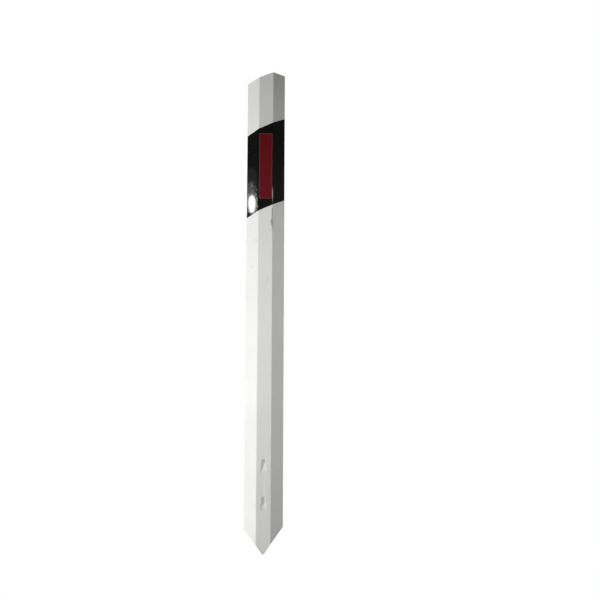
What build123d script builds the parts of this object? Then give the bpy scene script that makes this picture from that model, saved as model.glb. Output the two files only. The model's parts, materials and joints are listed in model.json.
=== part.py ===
"""Flexible delineator post: a folded white blade that bends above the ground and springs back.

Millimetres, +Z up. The origin is on the ground line, on the axis that the blade bends about.
The front, which is the convex side with the red strip, faces -Y.
"""

import os
from math import atan2, cos, degrees, radians, sin, tan

from build123d import *

# Folded sheet of the blade
facet_width = 42.0  # each of the three flats, along the front face
fold_angle = 33.0  # degrees that each fold turns the sheet
sheet_thickness = 3.2
inner_fold_radius = 0.8
edge_rounding = 0.6
axis_depth = 9.0  # from the front face back to the bending axis

# Lengths along the blade
apex_height = 1000.0  # highest point, above the ground line
buried_depth = 436.4  # corner of the tip before it is rounded, below the ground line
flex_start = 30.0  # lower end of the stretch that bends, above the ground line
flex_length = 30.0  # each length of that stretch
flex_count = 7

# Slanted top edge: it rises over two flats and falls over the last one
left_top_rise = 15.0
middle_top_rise = 16.5
right_top_fall = 5.5

# Pointed bottom end: it rises from the tip to the folds, then to the long edges, less on one side
left_tip_rise = 30.5
right_tip_rise = 32.7
left_flank_rise = 45.0
right_flank_rise = 50.3
tip_rounding = 4.8

# Anchor barbs: slit at the lip and pressed out backwards, flush again at the foot
barb_count = 2
barb_pitch = 109.0
barb_lip_height = 165.9  # lip of the lower barb, above the corner of the tip
barb_height = 41.0
barb_press = 8.0
barb_foot_width = 19.0
barb_lip_width = 9.5
barb_nose_width = 3.0  # pressed-out edge of the lip

# Black films, wrapped over all three flats with slanted ends
film_thickness = 0.3
film_height = 253.0
film_drop = 294.9  # apex down to the middle of the films
film_inset = 0.6  # from the long edges of the blade
front_slant = 0.44  # rise of the film's ends for each millimetre across
rear_slant = 0.6

# Reflective strips on the middle flat
strip_thickness = 0.5
front_strip_height = 200.0
front_strip_margin = 0.65  # from where the folds begin to curve
front_strip_rise = 1.5  # middle of the front strip, above the middle of its film
rear_strip_height = 207.0
rear_strip_margin = 1.6
rear_strip_drop = 4.5  # middle of the rear strip, below the middle of its film

# Outlines seen from the front run on past the long edges by this share of a flat
run_on = 0.2

turn = radians(fold_angle)
front_y = -axis_depth
rear_y = sheet_thickness - axis_depth
outer_fold_radius = inner_fold_radius + sheet_thickness
tip_height = -buried_depth
flex_end = flex_start + flex_count * flex_length
film_middle = apex_height - film_drop
through = 2 * facet_width


def layer_corners(depth, inset):
    """Fold corner and outer end of a folded layer's face, at a depth behind the blade's front face."""
    reach = facet_width - inset
    fold_x = facet_width / 2 - depth * tan(turn / 2)
    end_x = facet_width / 2 + reach * cos(turn) - depth * sin(turn)
    end_y = reach * sin(turn) + depth * cos(turn)
    return (fold_x, depth - axis_depth), (end_x, end_y - axis_depth)


def folded_section(front, back, inset=0.0, rounding=0.0):
    """Cross-section of a folded layer between two depths behind the blade's front face."""
    front_fold, front_end = layer_corners(front, inset)
    back_fold, back_end = layer_corners(back, inset)
    right = [front_fold, front_end, back_end, back_fold]
    left = [(-x, y) for x, y in reversed(right)]
    radii = [outer_fold_radius - front, rounding, rounding, outer_fold_radius - back]
    with BuildSketch() as section:
        with BuildLine():
            FilletPolyline(*right, *left, radius=radii + radii[::-1], close=True)
        make_face()
    return section.sketch


def front_line(left_end, left_fold, right_fold, right_end):
    """Points of an edge seen from the front, from its heights at the long edges and at the folds."""
    reach = 1 + run_on
    fold_x = facet_width / 2
    end_x = fold_x + reach * facet_width * cos(turn)
    return [
        (-end_x, left_fold + reach * (left_end - left_fold)),
        (-fold_x, left_fold),
        (fold_x, right_fold),
        (end_x, right_fold + reach * (right_end - right_fold)),
    ]


def slanted_line(middle, slant):
    """Points, seen from the front, of an edge that is straight while the film lies flat."""
    fold_step = slant * facet_width / 2
    end_step = fold_step + slant * facet_width
    return front_line(middle - end_step, middle - fold_step, middle + fold_step, middle + end_step)


def reflective_strip(face_y, outward, middle, height, margin):
    """Flat strip on the middle flat, between the folds, standing out from a face."""
    flat_width = facet_width - 2 * outer_fold_radius * tan(turn / 2)
    with BuildPart() as strip:
        with BuildSketch(Plane.XZ.offset(-face_y)):
            with Locations((0, middle)):
                Rectangle(flat_width - 2 * margin, height)
        extrude(amount=strip_thickness, dir=(0, outward, 0))
    return strip


def black_film(front, slant):
    """Thin film over all three flats, whose front is at a depth behind the blade's front face."""
    low, high = film_middle - film_height / 2, film_middle + film_height / 2
    spread = 2 * slant * facet_width
    with BuildPart() as film:
        with BuildSketch(Plane.XY.offset(low - spread)):
            add(folded_section(front, front + film_thickness, film_inset))
        extrude(amount=film_height + 2 * spread)
        with BuildSketch(Plane.XZ):
            with BuildLine():
                Polyline(*slanted_line(high, slant), *reversed(slanted_line(low, slant)), close=True)
            make_face()
        extrude(amount=through, both=True, mode=Mode.INTERSECT)
    return film


def write(part, name):
    """Label a finished piece and save it as its own file."""
    part.label = name
    export_step(part, f"parts/{name}.step")


os.makedirs("parts", exist_ok=True)
blade_section = folded_section(0, sheet_thickness, rounding=edge_rounding)

# One barb, as pressed out of a face at Y 0 with its lip at Z 0
barb_half_step = (barb_lip_width - barb_nose_width) / 2
barb_draft = degrees(atan2(barb_half_step, barb_press))
barb_spread = (barb_foot_width - barb_lip_width) / 2 / barb_height
with BuildPart() as barb:
    with BuildSketch(Plane.ZX):
        barb_top = barb_half_step
        barb_bottom = -barb_height - barb_half_step
        top_half = barb_lip_width / 2 - barb_spread * barb_top
        bottom_half = barb_lip_width / 2 - barb_spread * barb_bottom
        with BuildLine():
            Polyline(
                (barb_bottom, -bottom_half),
                (barb_top, -top_half),
                (barb_top, top_half),
                (barb_bottom, bottom_half),
                close=True,
            )
        make_face()
    extrude(amount=barb_press, taper=barb_draft)
    with BuildSketch(Plane.YZ):
        with BuildLine():
            Polyline((0, -barb_height), (barb_press, 0), (0, 0), close=True)
        make_face()
    extrude(amount=barb_foot_width, both=True, mode=Mode.INTERSECT)

# Buried end of the blade, pointed and barbed
barb_lips = [tip_height + barb_lip_height + n * barb_pitch for n in range(barb_count)]
with BuildPart() as blade_anchor:
    with BuildSketch(Plane.XY.offset(tip_height)):
        add(blade_section)
    extrude(amount=flex_start - tip_height)
    with BuildSketch(Plane.XZ) as pointed_end:
        left_height = tip_height + left_tip_rise
        right_height = tip_height + right_tip_rise
        left_end, left_fold, right_fold, right_end = front_line(
            left_height + left_flank_rise, left_height, right_height, right_height + right_flank_rise
        )
        with BuildLine():
            Polyline(
                left_end,
                left_fold,
                (0, tip_height),
                right_fold,
                right_end,
                (right_end[0], flex_start + through),
                (left_end[0], flex_start + through),
                close=True,
            )
        make_face()
        fillet(pointed_end.vertices().sort_by(Axis.Y)[0], radius=tip_rounding)
    extrude(amount=through, both=True, mode=Mode.INTERSECT)
    with Locations(*[(0, rear_y, lip) for lip in barb_lips]):
        add(barb.part)
    with Locations(*[(0, front_y, lip) for lip in barb_lips]):
        add(barb.part, mode=Mode.SUBTRACT)
write(blade_anchor.part, "blade_anchor")

# Lengths of the blade that bend, one above the other
for level in range(flex_count):
    with BuildPart() as blade_flex:
        with BuildSketch(Plane.XY.offset(flex_start + level * flex_length)):
            add(blade_section)
        extrude(amount=flex_length)
    write(blade_flex.part, f"blade_flex_{level + 1}")

# Upright of the blade, cut to the slanted top
with BuildPart() as blade_upright:
    with BuildSketch(Plane.XY.offset(flex_end)):
        add(blade_section)
    extrude(amount=apex_height - flex_end)
    with BuildSketch(Plane.XZ):
        top_fold = apex_height - middle_top_rise
        top_line = front_line(top_fold - left_top_rise, top_fold, apex_height, apex_height - right_top_fall)
        with BuildLine():
            Polyline(
                *top_line,
                (top_line[-1][0], flex_end - through),
                (top_line[0][0], flex_end - through),
                close=True,
            )
        make_face()
    extrude(amount=through, both=True, mode=Mode.INTERSECT)
write(blade_upright.part, "blade_upright")

# Films, and the strips on them
front_film = black_film(-film_thickness, front_slant)
write(front_film.part, "front_black_film")
rear_film = black_film(sheet_thickness, rear_slant)
write(rear_film.part, "rear_black_film")
red_middle = film_middle + front_strip_rise
red_strip = reflective_strip(front_y - film_thickness, -1, red_middle, front_strip_height, front_strip_margin)
write(red_strip.part, "red_reflector")
white_middle = film_middle - rear_strip_drop
white_strip = reflective_strip(rear_y + film_thickness, 1, white_middle, rear_strip_height, rear_strip_margin)
write(white_strip.part, "white_reflector")
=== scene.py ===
"""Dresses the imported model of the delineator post: white blade, black films and reflective strips.

The file is laid out as a Blender add-on and is run as a script. It works in metres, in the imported
model's frame: +Z up, the origin on the ground line, the front facing -Y.
"""

import json
from math import cos, pi, radians, sin, sqrt
from typing import NamedTuple

import bmesh
import bpy
from bpy.props import FloatProperty, FloatVectorProperty, IntProperty, PointerProperty
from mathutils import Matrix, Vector

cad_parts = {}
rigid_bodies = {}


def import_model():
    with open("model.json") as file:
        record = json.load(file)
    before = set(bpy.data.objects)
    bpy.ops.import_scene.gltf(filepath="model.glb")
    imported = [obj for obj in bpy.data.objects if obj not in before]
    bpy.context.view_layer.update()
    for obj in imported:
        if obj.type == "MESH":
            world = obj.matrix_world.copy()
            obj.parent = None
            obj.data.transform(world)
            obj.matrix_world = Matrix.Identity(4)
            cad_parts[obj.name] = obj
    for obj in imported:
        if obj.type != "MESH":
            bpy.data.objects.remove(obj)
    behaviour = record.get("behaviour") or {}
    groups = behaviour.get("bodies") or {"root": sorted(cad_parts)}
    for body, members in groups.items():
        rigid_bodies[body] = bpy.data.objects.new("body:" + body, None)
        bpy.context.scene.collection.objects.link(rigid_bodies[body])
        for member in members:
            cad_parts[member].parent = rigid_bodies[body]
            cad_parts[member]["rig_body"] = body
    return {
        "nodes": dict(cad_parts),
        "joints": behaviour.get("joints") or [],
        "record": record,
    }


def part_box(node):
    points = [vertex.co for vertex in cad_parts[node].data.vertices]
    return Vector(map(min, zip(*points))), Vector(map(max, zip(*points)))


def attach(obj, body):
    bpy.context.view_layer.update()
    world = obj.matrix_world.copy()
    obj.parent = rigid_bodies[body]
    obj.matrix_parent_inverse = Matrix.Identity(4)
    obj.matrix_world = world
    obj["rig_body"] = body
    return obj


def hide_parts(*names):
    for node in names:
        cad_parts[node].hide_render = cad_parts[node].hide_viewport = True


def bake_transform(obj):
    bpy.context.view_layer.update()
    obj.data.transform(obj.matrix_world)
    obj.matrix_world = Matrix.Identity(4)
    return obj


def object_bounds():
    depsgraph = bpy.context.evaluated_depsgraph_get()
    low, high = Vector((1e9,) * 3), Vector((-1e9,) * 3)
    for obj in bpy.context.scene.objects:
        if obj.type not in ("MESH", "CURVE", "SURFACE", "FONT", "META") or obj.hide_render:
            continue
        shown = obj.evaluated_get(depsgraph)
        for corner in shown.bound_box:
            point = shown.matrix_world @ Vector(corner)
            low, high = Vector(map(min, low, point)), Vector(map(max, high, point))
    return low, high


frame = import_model()
cad_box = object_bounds()

bl_info = {
    "name": "Delineator post",
    "version": (1, 0, 0),
    "blender": (4, 5, 0),
    "location": "View3D > Sidebar > Delineator",
    "description": "Builds the blade, films and strips of a flexible delineator post",
    "category": "Add Mesh",
}

FLAT_PLACE = "flat_place"
SHEET_MATERIAL = "white_sheet_plastic"
WHITE = (1.0, 1.0, 1.0, 1.0)

# Limits of the mesh work, in metres and radians
WELD_GAP = 1e-6
SHORTEST_EDGE = 1e-5
FLAT_ANGLE = radians(0.5)
CORNER_ANGLE = radians(50)
SHADING_ANGLE = radians(40)

# Heights between which the sheet's finish changes
YELLOWING = (0.50, 0.86)
# Painted shade under the top edge of the right-hand flat
TOP_PAINTED_SHADE = (0.865, 0.965)
FOOT_DARKENING = (-0.36, 0.05)
POINT_SOIL = (-0.425, -0.325)

# Marks near the front film, the painted highlight on its fold and two painted glint specks among them:
# heights above its lowest corner, and for the specks also places across
RUB_TOP = 0.028
CREASE_HIGHLIGHT_FOOT = 0.0404
GLINT_SPECKS = ((-0.0440, 0.0964), (-0.0255, 0.0824))
GLINT_SPECK_RADIUS = 0.0018

# Share of a dot, spot or rim that is whole, before its soft edge
CORE_SHARE = 0.4

# Range of chances over which dots go from left out to whole
CHANCE_RANGE = 0.02

# Brightness of the streaks and bands in the sheeting, as a share of its own
STREAK_SHADE = 0.8

# Depths of the relief in each finish
SHEET_RELIEF = 0.00006
FILM_RELIEF = 0.00005
STRIP_RELIEF = 0.00003

# The floor shows the post's shadow within the first distance and is plain white from the second on
SHADOW_REACH = (0.5, 1.5)
FLOOR_GLOW = 0.55

# Soft lamps: name, place, power setting, share of that power
SOFT_LAMPS = (
    ("front_key", (-1.75, -1.01, 0.02), "key_power", 1.0),
    ("front_fill", (0.60, -1.30, 0.37), "side_power", 1.03),
    ("rear_key", (1.75, 1.01, 0.32), "key_power", 1.0),
    ("rear_fill", (-0.60, 1.30, -0.05), "side_power", 0.86),
    ("overhead", (0.0, 0.0, 2.6), "top_power", 1.0),
)
SOFT_SIZE = (0.8, 0.8)
SOFT_AIM = (0.0, 0.0, 0.2)

# Lamps that show in the film on each side: name, place for the back, width and height, share of the power
FILM_LAMPS = (
    ("glint", (-1.4815, 0.5712, 0.983), (0.028, 0.074), 1.0),
    ("haze", (-1.4815, 0.5680, 1.027), (0.034, 0.105), 0.09),
    ("veil", (-1.4815, 0.5660, 1.093), (0.050, 0.094), 0.015),
)
FILM_AIM = (0.0, 0.0, 0.6)
SENSOR_WIDTH = 36.0

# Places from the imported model
front_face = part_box("blade_flex_1")[0].y
film_low, film_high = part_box("front_black_film")
hinge_heights = [joint["pos_m"][2] for joint in frame["joints"]]
hinge_pitch = hinge_heights[1] - hinge_heights[0]


def colour_setting(label, words, default):
    """A colour that a user may change, as linear red, green, blue and alpha."""
    return FloatVectorProperty(
        name=label, description=words, subtype="COLOR", size=4, min=0.0, max=1.0, default=(*default, 1.0)
    )


def length_setting(label, words, default):
    """A length in metres that a user may change."""
    return FloatProperty(
        name=label, description=words, subtype="DISTANCE", unit="LENGTH", default=default, precision=4
    )


def share_setting(label, words, default):
    """A share from 0 to 1 that a user may change."""
    return FloatProperty(
        name=label, description=words, subtype="FACTOR", min=0.0, max=1.0, default=default
    )


def power_setting(label, words, default):
    """The power of a lamp in watts."""
    return FloatProperty(name=label, description=words, unit="POWER", min=0.0, default=default)


class BladeSettings(bpy.types.PropertyGroup):
    """Sizes and colours of the folded white blade."""

    facet_width: length_setting("Flat width", "Width of each of the three flats along the front", 0.042)
    fold_angle: FloatProperty(
        name="Fold angle",
        description="How far each fold turns the sheet",
        subtype="ANGLE",
        default=radians(33),
    )
    bend_reach: length_setting("Bend reach", "Spread of a bend each side of its hinge", hinge_pitch / 2)
    bend_rows: IntProperty(
        name="Bend rows", description="Rows of faces along one bend", min=4, default=12
    )
    edge_rounding: length_setting("Edge rounding", "Width of the rounding on the cut edges", 0.0005)
    sheet_colour: colour_setting("Sheet", "Clean white plastic", (0.80, 0.80, 0.785))
    shade_colour: colour_setting("Cloudiness", "Cloudy patches in the plastic", (0.765, 0.765, 0.745))
    aged_colour: colour_setting("Aged sheet", "Plastic that has yellowed at the top", (0.735, 0.738, 0.706))
    # Paled folds: whitened plastic, and a painted highlight along the folds
    paled_fold_and_highlight_colour: colour_setting("Paled folds", "Plastic stretched pale by folding", (0.93, 0.93, 0.91))
    # The rub colour also paints the shade at the top of the sheet
    rub_and_painted_shade_colour: colour_setting("Rub marks", "Dark rubbing on the folds and edges", (0.16, 0.15, 0.13))
    soil_colour: colour_setting("Soil", "Soil stain on the pointed end", (0.50, 0.51, 0.38))
    roughness: share_setting("Roughness", "Roughness of the sheet", 0.46)


class FilmSettings(bpy.types.PropertyGroup):
    """Colours and gloss of the black films."""

    film_colour: colour_setting("Film", "Black of the film", (0.0013, 0.0013, 0.0011))
    dust_colour: colour_setting("Dust", "Dust on the film", (0.165, 0.155, 0.140))
    # The crease colour paints the highlight along the front film's right-hand fold, and the two glint
    # specks
    crease_highlight_colour: colour_setting("Crease", "Film stretched pale over a fold", (0.78, 0.74, 0.66))
    roughness: share_setting("Roughness", "Roughness of clean film", 0.032)
    edge_rounding: length_setting("Edge rounding", "Width of the rounding on the cut edges", 0.00008)
    speck_pitch: length_setting("Speck spacing", "Distance between specks of dust", 0.006)


class StripSettings(bpy.types.PropertyGroup):
    """Colours and pattern of the reflective strips."""

    red_colour: colour_setting("Red", "Red sheeting", (0.104, 0.0030, 0.0052))
    # The lower-end colours make each sheeting lighter and paler towards its lower end
    red_lower_end_colour: colour_setting("Faded red", "Red sheeting, lower end", (0.126, 0.0058, 0.0125))
    red_rim_colour: colour_setting("Red rim", "Cut edge of the red sheeting", (0.34, 0.14, 0.12))
    white_colour: colour_setting("White", "White sheeting", (0.36, 0.36, 0.365))
    white_lower_end_colour: colour_setting("Faded white", "White sheeting, lower end", (0.38, 0.38, 0.385))
    white_rim_colour: colour_setting("White rim", "Cut edge of the white sheeting", (0.62, 0.62, 0.62))
    cell_size: length_setting("Cell size", "Distance between the cells of the sheeting", 0.0042)
    edge_rounding: length_setting("Edge rounding", "Width of the rounding on the cut edges", 0.00012)
    rim_width: length_setting("Rim width", "Width of the pale rim", 0.0010)
    roughness: share_setting("Roughness", "Roughness of the sheeting", 0.28)


class StageSettings(bpy.types.PropertyGroup):
    """Camera, floor and lamps round the post."""

    camera_place: FloatVectorProperty(
        name="Camera",
        description="Where the camera stands",
        subtype="XYZ",
        default=(0.105, -3.6915, -0.340),
    )
    camera_turn: FloatVectorProperty(
        name="Camera turn",
        description="How the camera is turned",
        subtype="EULER",
        default=(radians(99.865), radians(-0.142), 0.0),
    )
    lens: FloatProperty(name="Lens", description="Focal length in millimetres", default=76.54)
    floor_size: length_setting("Floor", "Length of the floor's sides", 24.0)
    floor_colour: colour_setting("Floor colour", "Pale floor", (0.80, 0.80, 0.80))
    bounce_colour: colour_setting("Bounce", "Light that the floor throws back", (0.20, 0.20, 0.20))
    fill_level: share_setting("Surround", "Even light from all round", 0.07)
    key_power: power_setting("Keys", "Soft lamp to the left of the front, and of the back", 34.7)
    side_power: power_setting("Fills", "Soft lamp ahead of the front, and of the back", 6.7)
    glint_power: power_setting("Glints", "Small lamp that shows in each film, under two faint ones", 1.66)
    top_power: power_setting("Overhead", "Soft lamp above the post", 14.0)


class Link:
    """An output of a node. Python's operators on it add Math nodes to its tree."""

    def __init__(self, tree, socket):
        self.tree = tree
        self.socket = socket

    def output(self, name):
        """Another output of the same node, by its name or number."""
        return Link(self.tree, self.socket.node.outputs[name])

    def math(self, operation, first, second=0.0):
        """A Math node on two numbers or links."""
        return self.tree.node("ShaderNodeMath", {"operation": operation}, {0: first, 1: second})

    def __add__(self, other):
        return self.math("ADD", self, other)

    def __radd__(self, other):
        return self.math("ADD", other, self)

    def __sub__(self, other):
        return self.math("SUBTRACT", self, other)

    def __rsub__(self, other):
        return self.math("SUBTRACT", other, self)

    def __mul__(self, other):
        return self.math("MULTIPLY", self, other)

    def __rmul__(self, other):
        return self.math("MULTIPLY", other, self)

    def __abs__(self):
        return self.math("ABSOLUTE", self)

    def cosine(self):
        """Cosine of the value."""
        return self.math("COSINE", self)

    def least(self, other):
        """The smaller of two values."""
        return self.math("MINIMUM", self, other)

    def most(self, other):
        """The larger of two values."""
        return self.math("MAXIMUM", self, other)


class Tree:
    """A node tree with one way to add any node, and the patterns that the finishes share."""

    def __init__(self, node_tree):
        self.node_tree = node_tree

    def node(self, kind, settings=None, inputs=None, output=0):
        """Add a node: its settings are set first, then its sockets get their values or links."""
        made = self.node_tree.nodes.new(kind)
        for name, value in (settings or {}).items():
            setattr(made, name, value)
        for name, value in (inputs or {}).items():
            self.feed(made.inputs[name], value)
        return Link(self, made.outputs[output]) if len(made.outputs) else made

    def feed(self, socket, value):
        """Give a socket a link or a value."""
        if isinstance(value, Link):
            self.node_tree.links.new(value.socket, socket)
        else:
            socket.default_value = value

    def axes(self, vector):
        """The three numbers of a vector."""
        split = self.node("ShaderNodeSeparateXYZ", None, {0: vector})
        return [split.output(axis) for axis in range(3)]

    def rise(self, value, start, end):
        """0 up to start, 1 from end on, and smooth between."""
        limits = {"Value": value, "From Min": start, "From Max": end}
        return self.node("ShaderNodeMapRange", {"interpolation_type": "SMOOTHSTEP"}, limits)

    def fall(self, value, start, end):
        """1 up to start, 0 from end on, and smooth between."""
        return 1.0 - self.rise(value, start, end)

    def mix(self, share, under, over):
        """One colour laid over another by a share."""
        return self.node("ShaderNodeMix", {"data_type": "RGBA"}, {0: share, 6: under, 7: over}, output=2)

    def noise(self, place, scale, detail):
        """Soft random pattern between 0 and 1, with its repeats per metre."""
        return self.node("ShaderNodeTexNoise", None, {"Vector": place, "Scale": scale, "Detail": detail})

    def drawn_noise(self, place, across, along, detail):
        """Soft random pattern drawn out one way, with its repeats per metre across and along."""
        repeats = {0: place, 1: (across, across, along)}
        drawn = self.node("ShaderNodeVectorMath", {"operation": "MULTIPLY"}, repeats)
        return self.noise(drawn, 1.0, detail)

    def dots(self, place, scale, radius, share):
        """Round dots with soft edges in a share of the cells of a random pattern."""
        cells = {"Vector": place, "Scale": scale}
        distance = self.node("ShaderNodeTexVoronoi", None, cells, output="Distance")
        chance = self.axes(distance.output("Color"))[0]
        left_out = 1.0 - share
        chosen = self.rise(chance, left_out, left_out + CHANCE_RANGE)
        return self.fall(distance, CORE_SHARE * radius, radius) * chosen

    def spot(self, place, centre, radius):
        """A round spot with a soft edge about a centre."""
        ends = {0: place, 1: centre}
        gap = self.node("ShaderNodeVectorMath", {"operation": "DISTANCE"}, ends, output="Value")
        return self.fall(gap, CORE_SHARE * radius, radius)


class FlatPlace(NamedTuple):
    """Where a point lies on the unfolded sheet, as links: all three numbers, and each one apart."""

    place: Link
    across: Link
    depth: Link
    height: Link


def flat_coordinates(tree):
    """Where a point lies on the unfolded sheet, read from its mesh."""
    stored = {"attribute_name": FLAT_PLACE, "attribute_type": "GEOMETRY"}
    place = tree.node("ShaderNodeAttribute", stored, output="Vector")
    return FlatPlace(place, *tree.axes(place))


def finish_tree(name, constants):
    """A new material, its node tree and its shader, with the settings that are the same all over."""
    material = bpy.data.materials.new(name)
    material.use_nodes = True
    shader = material.node_tree.nodes["Principled BSDF"]
    for socket, value in constants.items():
        shader.inputs[socket].default_value = value
    return material, Tree(material.node_tree), shader


def surface(tree, shader, colour, roughness, relief, depth):
    """Feed the shader a colour, a roughness, and a relief as a bump of a depth in metres."""
    bump = tree.node("ShaderNodeBump", None, {"Strength": 1.0, "Distance": depth, "Height": relief})
    tree.feed(shader.inputs["Base Color"], colour)
    tree.feed(shader.inputs["Roughness"], roughness)
    tree.feed(shader.inputs["Normal"], bump)


def sheet_ageing_and_painted_shade(tree, at, cloud, on_front, half_flat):
    """Yellowing of the top, painted shade over it that grows from the left-hand flat to the right-hand one,
    more painted shade under the top edge of the right-hand flat on the front, and the front's middle flat
    darker towards the end that is driven in.
    """
    on_right = tree.rise(at.across, half_flat - 0.001, half_flat + 0.001)
    off_left = tree.rise(at.across, -half_flat - 0.001, 0.001 - half_flat)
    aged = tree.rise(at.height, *YELLOWING)
    # Painted shade over the top: none on the left-hand flat, more on the middle one, most on the right-hand
    # one, and more under the right-hand flat's top edge on the front
    painted_shade_and_darker_foot = aged * (on_right * 0.38 + off_left * 0.72) * (0.08 + cloud * 0.30)
    painted_shade_and_darker_foot = painted_shade_and_darker_foot + tree.rise(at.height, *TOP_PAINTED_SHADE) * on_right * on_front * 0.17
    # The front's middle flat, darker towards the point
    darker_foot = tree.fall(at.height, *FOOT_DARKENING) * (off_left - on_right) * on_front
    return aged, painted_shade_and_darker_foot + darker_foot * 0.10


def rub_marks(tree, at, flecks, half_flat):
    """Dark rubbing by the right-hand fold, just below the band: a line, a smear over it and a tick."""
    top = film_low.z + RUB_TOP
    line_across = half_flat - 0.0008
    smear_across = half_flat - 0.0016
    smear_height = top - 0.0436
    tick_place = (half_flat + 0.0004, 0.0, top - 0.0070)

    line = tree.fall(abs(at.across - line_across), 0.0004, 0.0022)
    line = line * tree.rise(at.height, top - 0.088, top - 0.045)
    line = line * tree.fall(at.height, top - 0.003, top + 0.003)
    line = line * (0.45 + tree.rise(flecks, 0.36, 0.56) * 0.55)
    smear = tree.fall(abs(at.across - smear_across), 0.0010, 0.0042)
    smear = smear * tree.fall(abs(at.height - smear_height), 0.0, 0.017)
    smear = smear * (0.6 + tree.rise(flecks, 0.24, 0.42) * 0.4)
    tick = tree.spot(at.place, tick_place, 0.0042) * 0.35
    return line.most(smear).most(tick)


def sheet_stains(tree, at, half_flat):
    """Faint stains all over, and one damp patch on the left flat below the band."""
    damp_place = (-half_flat - 0.010, 0.0, film_low.z + RUB_TOP - 0.0996)
    damp = tree.spot(at.place, damp_place, 0.014)
    damp = damp * tree.rise(tree.noise(at.place, 240.0, 3.0), 0.42, 0.58)
    stains = tree.rise(tree.drawn_noise(at.place, 60.0, 24.0, 5.0), 0.62, 0.78)
    return stains.most(damp)


def sheet_finish(blade):
    """Satin white plastic: yellowed at the top with painted shade over it, paled on its folds with a
    painted highlight there, worn on its folds and edges, and soiled at the point.
    """
    material, tree, shader = finish_tree(SHEET_MATERIAL, {"Specular IOR Level": 0.35})
    at = flat_coordinates(tree)
    half_flat = blade.facet_width / 2
    half_sheet = 3 * half_flat
    on_back = tree.rise(at.depth, 0.001, 0.002)
    on_front = 1.0 - on_back

    cloud = tree.noise(at.place, 7.0, 4.0)
    lines = tree.drawn_noise(at.place, 750.0, 5.0, 2.0)
    grain = tree.noise(at.place, 1100.0, 2.0)
    flecks = tree.drawn_noise(at.place, 520.0, 70.0, 4.0)
    patches = tree.drawn_noise(at.place, 24.0, 9.0, 3.0)

    colour = tree.mix(tree.rise(cloud, 0.40, 0.72), blade.sheet_colour, blade.shade_colour)
    aged, painted_shade_and_darker_foot = sheet_ageing_and_painted_shade(tree, at, cloud, on_front, half_flat)
    colour = tree.mix(aged, colour, blade.aged_colour)
    # Painted shade at the top, and the front's middle flat darker towards the point
    colour = tree.mix(painted_shade_and_darker_foot, colour, blade.rub_and_painted_shade_colour)
    colour = tree.mix(tree.rise(lines, 0.58, 0.85) * 0.06, colour, blade.rub_and_painted_shade_colour)

    fold_gap = abs(abs(at.across) - half_flat)
    # Folds paled in patches: partly stress-whitening, partly a painted highlight along the folds
    paled_and_highlight = tree.fall(fold_gap, 0.0003, 0.0014) * tree.rise(patches, 0.30, 0.55)
    colour = tree.mix(paled_and_highlight * 0.5, colour, blade.paled_fold_and_highlight_colour)
    on_fold = tree.fall(fold_gap, 0.0004, 0.0030)
    on_edge = tree.rise(abs(at.across), half_sheet - 0.0035, half_sheet)
    worn = on_fold.most(on_edge) * tree.rise(flecks, 0.54, 0.72) * tree.rise(patches, 0.42, 0.62)
    colour = tree.mix(worn * 0.22, colour, blade.rub_and_painted_shade_colour)

    scratches = tree.rise(tree.drawn_noise(at.place, 1300.0, 22.0, 1.0), 0.70, 0.78)
    scratches = scratches * tree.rise(patches, 0.50, 0.66)
    colour = tree.mix(scratches * 0.16, colour, blade.rub_and_painted_shade_colour)
    rubbed = rub_marks(tree, at, flecks, half_flat) * on_front
    colour = tree.mix(rubbed * 0.85, colour, blade.rub_and_painted_shade_colour)
    colour = tree.mix(sheet_stains(tree, at, half_flat) * 0.30, colour, blade.soil_colour)
    specks = tree.dots(at.place, 70.0, 0.075, 0.16)
    colour = tree.mix(specks * 0.35, colour, blade.rub_and_painted_shade_colour)

    soiled = tree.fall(at.height, *POINT_SOIL) * tree.rise(tree.noise(at.place, 26.0, 4.0), 0.30, 0.62)
    soiled = soiled * (0.10 + on_back * 0.46)
    colour = tree.mix(soiled, colour, blade.soil_colour)

    roughness = blade.roughness + (cloud - 0.5) * 0.12 + worn * 0.2 + soiled * 0.2
    relief = lines * 0.55 + grain * 0.25 + cloud * 2.0 - scratches * 0.5
    surface(tree, shader, colour, roughness, relief, SHEET_RELIEF)
    return material


def film_crease_highlight(tree, at, half_flat):
    """A painted highlight along the right-hand fold, drawn as a pale crease, on the front alone."""
    foot = film_low.z + CREASE_HIGHLIGHT_FOOT
    crease_highlight = tree.fall(abs(at.across - half_flat), 0.0002, 0.0012)
    crease_highlight = crease_highlight * tree.rise(at.height, foot - 0.006, foot + 0.033)
    crease_highlight = crease_highlight * tree.fall(at.height, foot + 0.030, foot + 0.058)
    return crease_highlight * tree.fall(at.depth, 0.0005, 0.0015)


def film_glint_specks(tree, at):
    """Two painted glints: small pale spots on the film of the left flat, near its highlight."""
    places = [(across, 0.0, film_low.z + up) for across, up in GLINT_SPECKS]
    first, second = (tree.spot(at.place, place, GLINT_SPECK_RADIUS) for place in places)
    return first.most(second)


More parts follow.
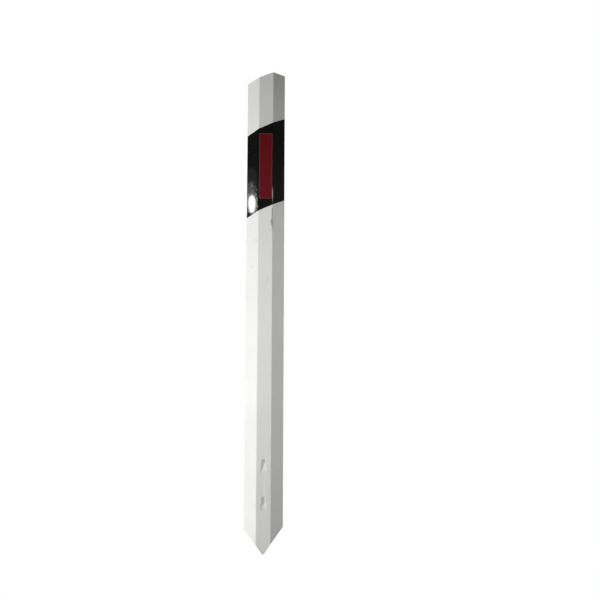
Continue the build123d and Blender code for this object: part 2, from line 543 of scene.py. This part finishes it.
def film_finish(film, blade):
    """Glossy black film with dust, scratches and small bubbles, two painted glint specks and a painted
    highlight over one fold.
    """
    material, tree, shader = finish_tree("glossy_black_film", {"Specular IOR Level": 0.048})
    at = flat_coordinates(tree)
    half_flat = blade.facet_width / 2

    haze = tree.noise(at.place, 34.0, 4.0)
    peel = tree.noise(at.place, 130.0, 2.0)
    powder = tree.rise(tree.noise(at.place, 900.0, 2.0), 0.45, 0.60)
    dust = tree.dots(at.place, 1.0 / film.speck_pitch, 0.14, 0.30)
    bubbles = tree.dots(at.place, 80.0, 0.33, 0.40)
    scratches = tree.rise(tree.drawn_noise(at.place, 900.0, 16.0, 1.0), 0.72, 0.80)

    splashed = tree.fall(at.height, film_low.z, film_high.z - 0.035)
    splashed = splashed * (0.25 + tree.rise(at.across, half_flat - 0.002, half_flat + 0.002) * 0.75)
    dusty = dust * tree.rise(haze, 0.42, 0.60)
    crease_highlight = film_crease_highlight(tree, at, half_flat)
    colour = tree.mix(splashed * (0.035 + haze * 0.045), film.film_colour, film.dust_colour)
    colour = tree.mix(dusty * 0.5, colour, film.dust_colour)
    # Two painted glint specks on the left flat
    colour = tree.mix(film_glint_specks(tree, at) * 0.32, colour, film.crease_highlight_colour)
    colour = tree.mix(scratches * 0.04, colour, film.dust_colour)
    # Painted highlight along the right-hand fold
    colour = tree.mix(crease_highlight, colour, film.crease_highlight_colour)

    roughness = film.roughness + powder * (0.01 + haze * 0.05) + dusty * 0.3 + crease_highlight * 0.3
    relief = peel * 0.06 + bubbles * 0.4 + dust * 0.5
    surface(tree, shader, colour, roughness, relief, FILM_RELIEF)
    return material


def strip_finish(name, node, strips, colours, banding, painted_lit_edge):
    """Reflective sheeting: rows of small cells under a clear face, with a pale cut rim.

    It turns lighter and paler towards its lower end. Darker bands cross it by one share, and a painted
    highlight lies on its -X edge by another.
    """
    material, tree, shader = finish_tree(name, {"Specular IOR Level": 0.045})
    at = flat_coordinates(tree)
    low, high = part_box(node)
    middle = (low + high) / 2
    half = (high - low) / 2
    plain, lower_end_colour, rim_colour = colours
    dark = [STREAK_SHADE * part for part in plain[:3]] + [1.0]

    inside = (half.x - abs(at.across)).least(half.z - abs(at.height - middle.z))
    rim = tree.fall(inside, CORE_SHARE * strips.rim_width, strips.rim_width)
    turns = 2 * pi / strips.cell_size
    slanted = at.across * (turns / 2)
    upward = at.height * (turns * sqrt(3) / 2)
    cells = (at.across * turns).cosine() + (slanted + upward).cosine() + (slanted - upward).cosine()
    walls = tree.fall(cells, -1.2, -0.5)
    streaks = tree.drawn_noise(at.place, 420.0, 6.0, 3.0)
    bands = tree.drawn_noise(at.place, 4.0, 190.0, 2.0)
    cloud = tree.noise(at.place, 30.0, 3.0)

    # Lighter and paler towards the lower end
    colour = tree.mix(tree.rise(at.height, low.z, high.z), lower_end_colour, plain)
    colour = tree.mix(tree.rise(streaks, 0.45, 0.75) * 0.35, colour, dark)
    colour = tree.mix(tree.rise(bands, 0.45, 0.70) * banding, colour, dark)
    colour = tree.mix(walls * 0.05, colour, rim_colour)
    # Painted highlight on the -X edge
    colour = tree.mix(tree.fall(half.x + at.across, 0.0030, 0.0075) * painted_lit_edge, colour, rim_colour)
    colour = tree.mix(rim * 0.7, colour, rim_colour)

    roughness = strips.roughness + cloud * 0.10 + walls * 0.08
    surface(tree, shader, colour, roughness, walls * 0.5 + cloud, STRIP_RELIEF)
    return material


def unfolded(point, blade):
    """Where a point of the folded sheet lies on the flat sheet: across, behind its front face, and up."""
    half_flat = blade.facet_width / 2
    side = 1.0 if point.x >= 0 else -1.0
    beyond = abs(point.x) - half_flat
    behind = point.y - front_face
    if beyond * cos(blade.fold_angle / 2) + behind * sin(blade.fold_angle / 2) <= 0:
        return point.x, behind, point.z
    across = half_flat + beyond * cos(blade.fold_angle) + behind * sin(blade.fold_angle)
    depth = behind * cos(blade.fold_angle) - beyond * sin(blade.fold_angle)
    return side * across, depth, point.z


def welded_copy(node):
    """A CAD node's mesh as a copy with its triangles joined and its flat faces made whole."""
    shell = bmesh.new()
    shell.from_mesh(frame["nodes"][node].data)
    bmesh.ops.remove_doubles(shell, verts=shell.verts, dist=WELD_GAP)
    bmesh.ops.dissolve_limit(shell, angle_limit=FLAT_ANGLE, verts=shell.verts, edges=shell.edges)
    return shell


def round_edges(shell, width):
    """Round the sharp edges of a shell."""
    sharp = [edge for edge in shell.edges if edge.calc_face_angle(0.0) > CORNER_ANGLE]
    bmesh.ops.bevel(
        shell, geom=sharp, offset=width, segments=2, profile=0.5, affect="EDGES", clamp_overlap=True
    )
    bmesh.ops.dissolve_degenerate(shell, edges=shell.edges, dist=SHORTEST_EDGE)


def cut_at(shell, height, keep_above):
    """Keep what lies above or below a height, and close the cut."""
    everything = shell.verts[:] + shell.edges[:] + shell.faces[:]
    cut = bmesh.ops.bisect_plane(
        shell,
        geom=everything,
        plane_co=(0, 0, height),
        plane_no=(0, 0, 1),
        clear_inner=keep_above,
        clear_outer=not keep_above,
    )
    rim = [item for item in cut["geom_cut"] if isinstance(item, bmesh.types.BMEdge)]
    bmesh.ops.triangle_fill(shell, edges=rim, use_beauty=True, use_dissolve=False)
    bmesh.ops.recalc_face_normals(shell, faces=shell.faces)


def new_piece(name, mesh, blade, material):
    """An object for a finished mesh, with its unfolded places, material, shading and slot.

    Large faces lead the shading, so that a flat next to a fold stays flat.
    """
    place = mesh.attributes.new(FLAT_PLACE, "FLOAT_VECTOR", "POINT")
    for vertex, item in zip(mesh.vertices, place.data):
        item.vector = unfolded(vertex.co, blade)
    mesh.materials.clear()
    mesh.materials.append(material)
    mesh.shade_smooth()
    mesh.set_sharp_from_angle(angle=SHADING_ANGLE)
    piece = bpy.data.objects.new(name, mesh)
    bpy.context.scene.collection.objects.link(piece)
    weighted = piece.modifiers.new("Even flats", "WEIGHTED_NORMAL")
    weighted.keep_sharp = True
    weighted.weight = 100
    return piece


def carried_piece(name, node, shell, material):
    """A rigid piece that stands for a CAD node and moves with the node's body."""
    mesh = bpy.data.meshes.new(name)
    shell.to_mesh(mesh)
    shell.free()
    piece = new_piece(name, mesh, bpy.context.scene.post_blade, material)
    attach(piece, frame["nodes"][node]["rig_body"])
    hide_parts(node)


def sheet_material():
    """The blade's finish, made once."""
    made = bpy.data.materials.get(SHEET_MATERIAL)
    return made or sheet_finish(bpy.context.scene.post_blade)


def swept_length_tree():
    """Geometry Nodes that sweep a closed outline straight up in even rows."""
    group = bpy.data.node_groups.new("Swept blade length", "GeometryNodeTree")
    sockets = {
        "Outline": "NodeSocketGeometry",
        "Bottom": "NodeSocketFloat",
        "Top": "NodeSocketFloat",
        "Rows": "NodeSocketInt",
        "Finish": "NodeSocketMaterial",
    }
    for name, kind in sockets.items():
        group.interface.new_socket(name, in_out="INPUT", socket_type=kind)
    group.interface.new_socket("Length", in_out="OUTPUT", socket_type="NodeSocketGeometry")
    tree = Tree(group)
    given = tree.node("NodeGroupInput")
    outline = tree.node("GeometryNodeMeshToCurve", None, {"Mesh": given.output("Outline")})
    bottom = tree.node("ShaderNodeCombineXYZ", None, {"Z": given.output("Bottom")})
    top = tree.node("ShaderNodeCombineXYZ", None, {"Z": given.output("Top")})
    ends = {"Start": bottom, "End": top}
    path = tree.node("GeometryNodeCurvePrimitiveLine", {"mode": "POINTS"}, ends)
    count = given.output("Rows") + 1
    rows = tree.node("GeometryNodeResampleCurve", None, {"Curve": path, "Count": count})
    swept = {"Curve": rows, "Profile Curve": outline, "Fill Caps": True}
    length = tree.node("GeometryNodeCurveToMesh", None, swept)
    length = tree.node("GeometryNodeRealizeInstances", None, {"Geometry": length})
    dressed = {"Geometry": length, "Material": given.output("Finish")}
    length = tree.node("GeometryNodeSetMaterial", None, dressed)
    tree.node("NodeGroupOutput", None, {"Length": length})
    return group


def blade_outline():
    """Corners of the blade's cross-section, in order, from the end face of one of its lengths."""
    shell = welded_copy("blade_flex_1")
    end_face = min(shell.faces, key=lambda face: face.calc_center_median().z)
    corners = [(vertex.co.x, vertex.co.y, 0.0) for vertex in end_face.verts]
    shell.free()
    return corners


def swept_length(name, corners, group, values):
    """A plain mesh of one length of the blade, made by the sweeping tree."""
    outline = bpy.data.meshes.new(name)
    count = len(corners)
    outline.from_pydata(corners, [(n, (n + 1) % count) for n in range(count)], [])
    carrier = bpy.data.objects.new(name, outline)
    bpy.context.scene.collection.objects.link(carrier)
    modifier = carrier.modifiers.new("Sweep", "NODES")
    modifier.node_group = group
    for item in group.interface.items_tree:
        if item.name in values:
            modifier[item.identifier] = values[item.name]
    depsgraph = bpy.context.evaluated_depsgraph_get()
    mesh = bpy.data.meshes.new_from_object(carrier.evaluated_get(depsgraph))
    bpy.data.objects.remove(carrier)
    bpy.data.meshes.remove(outline)
    mesh.name = name
    shell = bmesh.new()
    shell.from_mesh(mesh)
    bmesh.ops.remove_doubles(shell, verts=shell.verts, dist=WELD_GAP)
    bmesh.ops.recalc_face_normals(shell, faces=shell.faces)
    shell.to_mesh(mesh)
    shell.free()
    return mesh


class POST_OT_blade_ends(bpy.types.Operator):
    """Make the pointed lower end and the slanted upper end of the blade"""

    bl_idname = "post.blade_ends"
    bl_label = "Blade ends"

    def execute(self, context):
        blade = context.scene.post_blade
        first = hinge_heights[0] - blade.bend_reach
        last = hinge_heights[-1] + blade.bend_reach
        ends = [
            ("blade_lower", "blade_anchor", first, False),
            ("blade_upper", "blade_upright", last, True),
        ]
        for name, node, height, keep_above in ends:
            shell = welded_copy(node)
            round_edges(shell, blade.edge_rounding)
            cut_at(shell, height, keep_above)
            carried_piece(name, node, shell, sheet_material())
        return {"FINISHED"}


class POST_OT_blade_bends(bpy.types.Operator):
    """Make the lengths of the blade that lie across the hinges, one for each hinge"""

    bl_idname = "post.blade_bends"
    bl_label = "Blade bends"

    def execute(self, context):
        blade = context.scene.post_blade
        corners = blade_outline()
        group = swept_length_tree()
        bodies = frame["record"]["behaviour"]["bodies"]
        reach = Vector((0, 0, blade.bend_reach))
        for joint in frame["joints"]:
            hinge = Vector(joint["pos_m"])
            values = {
                "Bottom": hinge.z - reach.z,
                "Top": hinge.z + reach.z,
                "Rows": blade.bend_rows,
                "Finish": sheet_material(),
            }
            name = "blade_" + joint["name"]
            mesh = swept_length(name, corners, group, values)
            piece = new_piece(name, mesh, blade, sheet_material())
            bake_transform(piece)
            crossed = bodies[joint["child"]][0]
            if crossed != "blade_upright":
                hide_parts(crossed)
        return {"FINISHED"}


class POST_OT_films(bpy.types.Operator):
    """Make the black films on the front and the back"""

    bl_idname = "post.films"
    bl_label = "Black films"

    def execute(self, context):
        film = context.scene.post_film
        material = film_finish(film, context.scene.post_blade)
        for name, node in (("front_film", "front_black_film"), ("rear_film", "rear_black_film")):
            shell = welded_copy(node)
            round_edges(shell, film.edge_rounding)
            carried_piece(name, node, shell, material)
        return {"FINISHED"}


class POST_OT_strips(bpy.types.Operator):
    """Make the red and the white reflective strip"""

    bl_idname = "post.strips"
    bl_label = "Reflective strips"

    def execute(self, context):
        strips = context.scene.post_strips
        red = (strips.red_colour, strips.red_lower_end_colour, strips.red_rim_colour)
        white = (strips.white_colour, strips.white_lower_end_colour, strips.white_rim_colour)
        made = [
            ("red_strip", "red_reflector", "red_sheeting", red, 0.10, 0.0),
            # The white strip's last share paints a highlight on its -X edge
            ("white_strip", "white_reflector", "white_sheeting", white, 0.45, 0.40),
        ]
        for name, node, slot, colours, banding, painted_lit_edge in made:
            material = strip_finish(slot + "_face", node, strips, colours, banding, painted_lit_edge)
            shell = welded_copy(node)
            round_edges(shell, strips.edge_rounding)
            carried_piece(name, node, shell, material)
        return {"FINISHED"}


def soft_lamp(name, place, aim, size, power):
    """A lamp of a width and height that faces a point and doesn't show to the camera itself."""
    lamp = bpy.data.lights.new(name, "AREA")
    lamp.shape = "ELLIPSE"
    lamp.size, lamp.size_y = size
    lamp.energy = power
    holder = bpy.data.objects.new(name, lamp)
    holder.location = place
    holder.rotation_euler = (Vector(aim) - Vector(place)).to_track_quat("-Z", "Y").to_euler()
    holder.visible_camera = False
    bpy.context.scene.collection.objects.link(holder)


def light_post(stage):
    """Soft lamps round the post, and small ones that show in the films, mirrored from back to front."""
    for name, place, setting, share in SOFT_LAMPS:
        soft_lamp(name, place, SOFT_AIM, SOFT_SIZE, share * getattr(stage, setting))
    for face, side in (("front", -1.0), ("rear", 1.0)):
        for name, (x, y, z), size, share in FILM_LAMPS:
            soft_lamp(face + "_" + name, (x, side * y, z), FILM_AIM, size, share * stage.glint_power)


def seen_directly(tree):
    """1 for what the camera sees, straight or in gloss and glass, and 0 for light on the object."""
    camera = tree.node("ShaderNodeLightPath", output="Is Camera Ray")
    return camera.most(camera.output("Is Glossy Ray")).most(camera.output("Is Transmission Ray"))


def empty_tree(owner):
    """The node tree of a material or a world, with nothing in it yet."""
    owner.use_nodes = True
    owner.node_tree.nodes.clear()
    return Tree(owner.node_tree)


def white_world(stage):
    """A world that looks white and lights the object evenly at a low level."""
    world = bpy.data.worlds.new("Studio")
    bpy.context.scene.world = world
    tree = empty_tree(world)
    low = tree.node("ShaderNodeBackground", None, {"Color": WHITE, "Strength": stage.fill_level})
    full = tree.node("ShaderNodeBackground", None, {"Color": WHITE, "Strength": 1.0})
    shown = tree.node("ShaderNodeMixShader", None, {0: seen_directly(tree), 1: low, 2: full})
    tree.node("ShaderNodeOutputWorld", None, {"Surface": shown})


def floor_finish(stage):
    """Pale floor that keeps the shadow near the post and looks white further off."""
    material = bpy.data.materials.new("pale_floor")
    tree = empty_tree(material)
    place = tree.node("ShaderNodeTexCoord", output="Object")
    away = tree.node("ShaderNodeVectorMath", {"operation": "LENGTH"}, {0: place}, output="Value")
    matte = tree.node("ShaderNodeBsdfDiffuse", None, {"Color": stage.floor_colour})
    dim = tree.node("ShaderNodeBsdfDiffuse", None, {"Color": stage.bounce_colour})
    glow = tree.node("ShaderNodeEmission", None, {"Color": WHITE, "Strength": FLOOR_GLOW})
    near = tree.node("ShaderNodeAddShader", None, {0: matte, 1: glow})
    far = tree.node("ShaderNodeEmission", None, {"Color": WHITE, "Strength": 1.0})
    whiter = tree.rise(away, *SHADOW_REACH)
    shown = tree.node("ShaderNodeMixShader", None, {0: whiter, 1: near, 2: far})
    whole = tree.node("ShaderNodeMixShader", None, {0: seen_directly(tree), 1: dim, 2: shown})
    tree.node("ShaderNodeOutputMaterial", None, {"Surface": whole})
    return material


def lay_floor(stage):
    """A square floor under the tip of the post."""
    half = stage.floor_size / 2
    mesh = bpy.data.meshes.new("floor")
    corners = [(-half, -half, 0), (half, -half, 0), (half, half, 0), (-half, half, 0)]
    mesh.from_pydata(corners, [], [(0, 1, 2, 3)])
    mesh.materials.append(floor_finish(stage))
    floor = bpy.data.objects.new("floor", mesh)
    floor.location.z = cad_box[0].z
    bpy.context.scene.collection.objects.link(floor)


def place_camera(stage):
    """The camera at the photograph's viewing angle."""
    camera = bpy.data.objects.new("camera", bpy.data.cameras.new("camera"))
    camera.data.lens = stage.lens
    camera.data.sensor_width = SENSOR_WIDTH
    camera.location = stage.camera_place
    camera.rotation_euler = stage.camera_turn
    bpy.context.scene.collection.objects.link(camera)
    bpy.context.scene.camera = camera


class POST_OT_stage(bpy.types.Operator):
    """Set up the floor, the lamps and the camera"""

    bl_idname = "post.stage"
    bl_label = "Stage"

    def execute(self, context):
        stage = context.scene.post_stage
        lay_floor(stage)
        white_world(stage)
        light_post(stage)
        place_camera(stage)
        context.scene.view_settings.view_transform = "Standard"
        return {"FINISHED"}


class POST_PT_sidebar(bpy.types.Panel):
    """Lists the steps and the settings of the post"""

    bl_idname = "POST_PT_sidebar"
    bl_label = "Delineator post"
    bl_space_type = "VIEW_3D"
    bl_region_type = "UI"
    bl_category = "Delineator"

    def draw(self, context):
        for operator in OPERATORS:
            self.layout.operator(operator.bl_idname)
        for setting, (group, label) in SETTINGS.items():
            box = self.layout.box()
            box.label(text=label)
            values = getattr(context.scene, setting)
            for name in group.__annotations__:
                box.prop(values, name)


OPERATORS = [POST_OT_blade_ends, POST_OT_blade_bends, POST_OT_films, POST_OT_strips, POST_OT_stage]
SETTINGS = {
    "post_blade": (BladeSettings, "Blade"),
    "post_film": (FilmSettings, "Films"),
    "post_strips": (StripSettings, "Strips"),
    "post_stage": (StageSettings, "Stage"),
}


def register():
    """Register the settings, the operators and the panel."""
    for name, (group, label) in SETTINGS.items():
        bpy.utils.register_class(group)
        setattr(bpy.types.Scene, name, PointerProperty(type=group, name=label))
    for operator in OPERATORS:
        bpy.utils.register_class(operator)
    bpy.utils.register_class(POST_PT_sidebar)


def unregister():
    """Remove the panel, the operators and the settings."""
    bpy.utils.unregister_class(POST_PT_sidebar)
    for operator in reversed(OPERATORS):
        bpy.utils.unregister_class(operator)
    for name, (group, label) in SETTINGS.items():
        delattr(bpy.types.Scene, name)
        bpy.utils.unregister_class(group)


def main():
    """Build the post."""
    register()
    bpy.ops.post.blade_ends()
    bpy.ops.post.blade_bends()
    bpy.ops.post.films()
    bpy.ops.post.strips()
    bpy.ops.post.stage()


if __name__ == "__main__":
    main()
